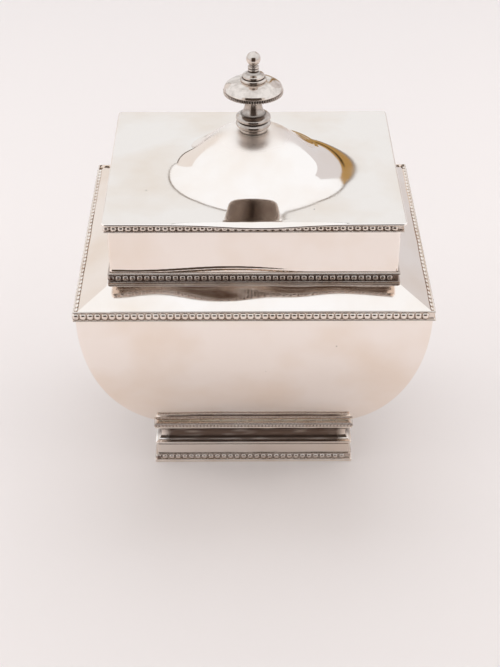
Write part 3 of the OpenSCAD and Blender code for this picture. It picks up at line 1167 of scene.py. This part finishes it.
@dataclass(frozen=True)
class Finial:
    """The turned finial: bulb and stem, disc with its milled rim, and the knop.

    Attributes:
        teeth: how many teeth the milled ring has.
        tooth_depth: how deep they are cut, as a share of the ring's radius.
        base_outline: radius, height and rounding of the collar, bulb and stem.
        disc_outline: the same of the disc.
        knop_outline: the same of the stepped rings and the neck under the ball.
        base_film: how tarnished the base is outside its hollows.
        disc_film: the same of the disc.
        knop_film: the same of the knop.
        underside: height on the disc under which it is painted dark.
        underside_tarnish: how dark the painted shade is there; the dome mirrors it as a brown blur.
        ball_radius: radius of the ball.
    """

    teeth: int = 72
    tooth_depth: float = 0.08
    base_outline: tuple[tuple[float, float, float], ...] = (
        (4.85, 0.0, 0.3), (4.85, 0.95, 0.3), (4.3, 1.12, 0.1), (5.25, 1.35, 0.4),
        (5.95, 1.9, 0.7), (5.95, 2.75, 0.7), (5.3, 3.35, 0.3), (5.0, 3.6, 0.1),
        (5.5, 3.85, 0.3), (5.95, 4.3, 0.6), (5.9, 5.0, 0.7), (5.1, 5.65, 0.7),
        (4.1, 6.0, 0.2), (3.7, 6.5, 0.5), (3.1, 8.0, 1.5), (2.9, 9.6, 1.2),
        (3.05, 11.3, 0.8), (3.5, 12.0, 0.3), (3.5, 12.2, 0.05))
    disc_outline: tuple[tuple[float, float, float], ...] = (
        (3.3, 0.0, 0.1), (4.6, 0.25, 0.6), (8.4, 0.95, 0.8), (9.3, 1.3, 0.2),
        (9.3, 2.5, 0.1), (9.75, 2.55, 0.12), (9.95, 2.85, 0.3), (9.5, 3.9, 1.0),
        (8.0, 4.85, 1.8), (6.2, 5.45, 1.5), (4.6, 5.72, 0.5), (4.2, 5.8, 0.1))
    knop_outline: tuple[tuple[float, float, float], ...] = (
        (4.0, 0.0, 0.1), (4.45, 0.15, 0.35), (4.45, 1.0, 0.4), (3.6, 1.15, 0.1),
        (3.75, 1.35, 0.25), (3.75, 2.05, 0.35), (3.1, 2.3, 0.15), (2.3, 2.65, 0.6),
        (1.7, 3.3, 0.5), (1.6, 3.5, 0.05), (1.88, 3.7, 0.2), (1.88, 4.15, 0.2),
        (1.5, 4.3, 0.05), (1.88, 4.5, 0.2), (1.88, 5.0, 0.2), (1.35, 5.3, 0.1), (1.3, 5.6, 0.05))
    base_film: float = 0.3
    disc_film: float = 0.04
    knop_film: float = 0.12
    underside: float = 1.6 * MM
    underside_tarnish: float = 0.75
    ball_radius: float = 2.4 * MM

    def build(self, finishes: Finishes) -> None:
        """Builds the finial, and gives the stud, its washer and its nut their finish.

        Args:
            finishes: the materials.
        """
        base, disc = soften(list(self.base_outline)), soften(list(self.disc_outline))
        self.turned("finial_base_bulb", "finial_base", base, self.base_film, finishes)
        self.turned("finial_disc_cap", "finial_disc", disc, self.disc_film, finishes)
        self.knop(finishes)
        self.milled_ring(finishes)
        for node in ("finial_stud", "finial_washer", "finial_nut"):
            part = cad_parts[node]
            part.data.materials.clear()
            part.data.materials.append(finishes.steel)

    def turned(
        self, name: str, node: str, outline: np.ndarray, film: float, finishes: Finishes,
    ) -> None:
        """Spins an outline into a closed solid with a pole on the axis at each end.

        Args:
            name: the piece's name.
            node: the CAD node that it stands for.
            outline: radius and height over the node's underside, from the bottom up.
            film: how tarnished it is outside its hollows.
            finishes: the materials.
        """
        low = NodeBox.of(node).low
        profile = np.vstack([[0.0, outline[0, 1]], outline, [0.0, outline[-1, 1]]])
        profile[:, 1] += low
        tarnish = np.clip(film + hollows(profile, 0.5, 2.3), 0.0, 1.0)
        # Painted shade: the disc's underside is darkened, so that its reflection in the dome shows as
        # a brown blur.
        if node == "finial_disc":
            under = profile[:, 1] - low < self.underside
            tarnish = np.where(under, self.underside_tarnish, tarnish)
        grid = Grid(spin(profile), close_columns=False, tarnish=tarnish)
        make_piece(name, [grid], finishes.cast, Body.LID, [node])

    def knop(self, finishes: Finishes) -> None:
        """The stepped rings, neck and ball; the ball is a circle's arc up to the pole.

        Args:
            finishes: the materials.
        """
        box = NodeBox.of("finial_knop")
        centre = box.high - box.low - self.ball_radius
        angle = np.radians(np.linspace(-62.0, 90.0, 30))
        ball = np.stack([np.cos(angle), np.sin(angle)], axis=1) * self.ball_radius + [0.0, centre]
        ball[-1, 0] = 0.0
        outline = np.vstack([soften(list(self.knop_outline))[1:], ball])
        self.turned("finial_knop_ball", "finial_knop", outline, self.knop_film, finishes)

    def milled_ring(self, finishes: Finishes) -> None:
        """The fine milled wire under the disc's rim, whose radius rises and falls with its teeth.

        Real teeth are about 0.6 mm apart. They are drawn 0.9 mm apart, to stay visible.

        Args:
            finishes: the materials.
        """
        box = NodeBox.of("finial_bead_ring")
        height = (box.high - box.low) / MM
        outline = soften([(9.2, 0, 0.1), (10.1, 0, 0.3), (10.1, height, 0.2), (9.2, height, 0.1)])
        outline[:, 1] += box.low
        steps = 6
        points = spin(outline, self.teeth * steps)
        turn = np.arange(self.teeth * steps) * 2 * math.pi / steps
        sunk = np.sqrt(0.5 - 0.5 * np.cos(turn))[:, None]
        face = np.clip((outline[:, 0] - 9.3 * MM) / (0.5 * MM), 0.0, 1.0)[None, :]
        scale = 1.0 - sunk * face * self.tooth_depth
        points[..., :2] *= scale[..., None]
        make_piece("finial_milled_ring", [Grid(points, tarnish=sunk * face)], finishes.cast,
                   Body.LID, ["finial_bead_ring"])


# ---------------------------------------------------------------- the studio


Corners = tuple[tuple[float, float, float], ...]


def wall(distance: float, *aims: tuple[float, float]) -> Corners:
    """Corners of an upright card behind the bowl, from where they are seen on the lid.

    Args:
        distance: how far behind the lid the card stands.
        aims: azimuth to the right and elevation of each corner, in degrees.

    Returns:
        The corners in metres.
    """
    eye = NodeBox.of("lid_top_plate").low
    corners = []
    for side, up in np.radians(aims).tolist():
        height = eye + distance * math.tan(up) / math.cos(side)
        corners.append((distance * math.tan(side), distance, height))
    return tuple(corners)


@dataclass(frozen=True)
class Card:
    """A flat card in the light tent, seen only in reflections.

    Attributes:
        name: the card's name.
        corners: its corners in order, in metres.
        colour: its colour.
        glow: how much light it gives.
    """

    name: str
    corners: Corners
    colour: str
    glow: float = 1.0

    def build(self) -> None:
        """Builds the card as a stage object that only reflections show."""
        mesh = bpy.data.meshes.new(self.name)
        mesh.from_pydata(self.corners, [], [tuple(range(len(self.corners)))])
        paint = bpy.data.materials.new(self.name + "_paint")
        paint.use_nodes = True
        tree = paint.node_tree
        tree.nodes.clear()
        light = add_node(tree, "Emission", {"Color": linear(self.colour), "Strength": self.glow})
        add_node(tree, "OutputMaterial", {"Surface": light.outputs[0]})
        mesh.materials.append(paint)
        card = bpy.data.objects.new(self.name, mesh)
        card.visible_camera = False
        card.visible_shadow = False
        card.visible_diffuse = False
        bpy.context.scene.collection.objects.link(card)


@dataclass(frozen=True)
class Studio:
    """The pale floor, the light tent and the camera.

    Attributes:
        lens_mm: the lens's focal length.
        camera_place: where the camera stands, in metres.
        camera_tilt: how far it looks down, in degrees.
        camera_turn: its turn about the upright, in degrees, positive to the left.
        floor_half: how far the floor reaches to each side, in metres.
        floor_colour: the floor's colour.
        world_colour: colour of the even light.
        world_glow: strength of the even light.
        tent_half: how far the tent reaches to each side, in metres.
        tent_top: its height in metres.
    """

    lens_mm: float = 75.1
    camera_place: tuple[float, float, float] = (-0.0036, -0.4303, 0.3349)
    camera_tilt: float = 34.76
    camera_turn: float = -0.33
    floor_half: float = 6.0
    floor_colour: str = "#F1EEEE"
    world_colour: str = "#F6F1EF"
    world_glow: float = 0.73
    tent_half: float = 2.0
    tent_top: float = 1.7

    def tent(self) -> list[Card]:
        """Lists the tent's ceiling and its four sides.

        Returns:
            The tent's cards.
        """
        half, top = self.tent_half, self.tent_top
        near_left, near_right = (-half, -half), (half, -half)
        far_right, far_left = (half, half), (-half, half)
        sides = (
            ("tent_left", near_left, far_left, "#F5FAFF", 1.10),
            ("tent_right", near_right, far_right, "#F5FAFF", 1.10),
            ("tent_back", far_left, far_right, "#F5FAFF", 1.10),
            ("tent_front", near_left, near_right, "#E9E4E1", 0.9),
        )
        ceiling = tuple((*place, top) for place in (near_left, near_right, far_right, far_left))
        cards = [Card("tent_ceiling", ceiling, "#F5FAFF", 1.11)]
        for name, start, end, colour, glow in sides:
            corners = ((*start, 0), (*end, 0), (*end, top), (*start, top))
            cards.append(Card(name, corners, colour, glow))
        return cards

    def cards(self) -> list[Card]:
        """Lists what the silver mirrors.

        That is a white tent, a pale backdrop with dark edges, a golden wood strip and a
        grey screen to its right, and the dark side of the room in front.

        Returns:
            The cards.
        """
        return [
            *self.tent(),
            Card("wood_low", wall(1.38, (2.5, -4), (16, -4), (16, 3.5), (2.5, 3.5)), "#A88854"),
            Card("backdrop_fold", wall(
                1.39, (-21.4, -4), (-20.3, -4), (-20.3, 23.5), (-21.2, 24.5)), "#6E655E"),
            Card("backdrop", wall(
                1.4, (-20, -4), (10.6, -4), (10.6, 31), (8, 36), (4, 39), (-2, 39.5), (-7, 37),
                (-11.5, 32), (-16, 27), (-20, 24)), "#F1F5F8"),
            Card("backdrop_edge", wall(
                1.43, (-20.5, -4), (10.9, -4), (10.9, 31.2), (8.3, 36.3), (4.2, 39.5), (-2.2, 40),
                (-7.3, 37.5), (-11.9, 32.4), (-16.4, 27.4), (-20.5, 24.4)), "#938B84"),
            Card("wood_strip", wall(
                1.46, (10, -4), (14, -4), (14, 22), (12.5, 31), (10, 32)), "#B08D55"),
            Card("wood_shadow", wall(
                1.45, (12.2, -4), (12.9, -4), (12.9, 26), (12.2, 28)), "#4E3A1E"),
            Card("grey_screen_right", wall(
                1.6, (13, -4), (38, -4), (38, 38), (24, 38), (12, 31)), "#DCDADC"),
            Card("grey_screen_left", wall(
                1.6, (-42, -4), (-20, -4), (-20, 26), (-42, 26)), "#EFECEA"),
            Card("dark_table_front", (
                (-0.15, -0.24, 0.001), (-0.40, -0.64, 0.001), (0.40, -0.64, 0.001),
                (0.15, -0.24, 0.001)), "#4B4039"),
            Card("dark_room_front", (
                (-0.39, -0.62, 0), (0.39, -0.62, 0), (0.39, -0.62, 0.58), (-0.39, -0.62, 0.58)),
                "#4B4039"),
        ]

    def build(self) -> None:
        """Builds the floor, the tent's light, its cards and the camera."""
        self.floor()
        self.world()
        for card in self.cards():
            card.build()
        self.lamp("overhead_softbox", (0.0, 0.45, 0.95), (0.9, 0.7), 2.2, "#F8FAFF")
        self.lamp("left_softbox", (-0.6, 0.0, 0.28), (0.6, 0.4), 1.3, "#FFF8F2")
        self.lamp("right_softbox", (0.6, 0.0, 0.28), (0.6, 0.4), 1.3, "#FFF8F2")
        self.camera()
        bpy.context.scene.view_settings.view_transform = "Standard"

    def floor(self) -> None:
        """A wide pale floor of plain matt card."""
        mesh = bpy.data.meshes.new("studio_floor")
        half = self.floor_half
        corners = [(-half, -half, 0), (half, -half, 0), (half, half, 0), (-half, half, 0)]
        mesh.from_pydata(corners, [], [(0, 1, 2, 3)])
        paint = bpy.data.materials.new("matt_white_card")
        paint.use_nodes = True
        shader = paint.node_tree.nodes["Principled BSDF"]
        shader.inputs["Base Color"].default_value = linear(self.floor_colour)
        shader.inputs["Roughness"].default_value = 0.9
        shader.inputs["Specular IOR Level"].default_value = 0.1
        mesh.materials.append(paint)
        floor = bpy.data.objects.new("studio_floor", mesh)
        bpy.context.scene.collection.objects.link(floor)

    def world(self) -> None:
        """The even light of the tent's walls."""
        world = bpy.data.worlds.new("light_tent")
        world.use_nodes = True
        back = world.node_tree.nodes["Background"]
        back.inputs["Color"].default_value = linear(self.world_colour)
        back.inputs["Strength"].default_value = self.world_glow
        bpy.context.scene.world = world

    def lamp(
        self, name: str, place: tuple[float, float, float], size: tuple[float, float],
        power: float, colour: str,
    ) -> None:
        """Hangs a soft lamp that faces the bowl and isn't mirrored.

        Args:
            name: the lamp's name.
            place: where it hangs.
            size: its width and height in metres.
            power: its power in watts.
            colour: its colour.
        """
        shape = bpy.data.lights.new(name, "AREA")
        shape.shape = "RECTANGLE"
        shape.size, shape.size_y = size
        shape.energy = power
        shape.color = linear(colour)[:3]
        light = bpy.data.objects.new(name, shape)
        light.location = place
        light.rotation_euler = (-light.location).to_track_quat("-Z", "Y").to_euler()
        light.visible_camera = False
        light.visible_glossy = False
        bpy.context.scene.collection.objects.link(light)

    def camera(self) -> None:
        """The camera, looking down at the object from the front."""
        lens = bpy.data.cameras.new("camera")
        lens.lens = self.lens_mm
        lens.sensor_width = 36.0
        lens.clip_start, lens.clip_end = 0.01, 30.0
        camera = bpy.data.objects.new("camera", lens)
        camera.location = self.camera_place
        tilt, turn = math.radians(90 - self.camera_tilt), math.radians(self.camera_turn)
        camera.rotation_euler = (tilt, 0.0, turn)
        bpy.context.scene.collection.objects.link(camera)
        bpy.context.scene.camera = camera


def main() -> None:
    """Builds the studio, the bowl and the lid."""
    logging.basicConfig(level=logging.INFO, format="%(name)s %(message)s")
    Studio().build()
    finishes = Finishes(SHEET_SILVER.material(), INNER_SILVER.material(), WIRE_SILVER.material(),
                        CAST_SILVER.material(), SteelFinish().material())
    for part in (Foot(), Bowl(), Lid(), Finial()):
        part.build(finishes)
        LOG.info("%s built", type(part).__name__)


if __name__ == "__main__":
    main()
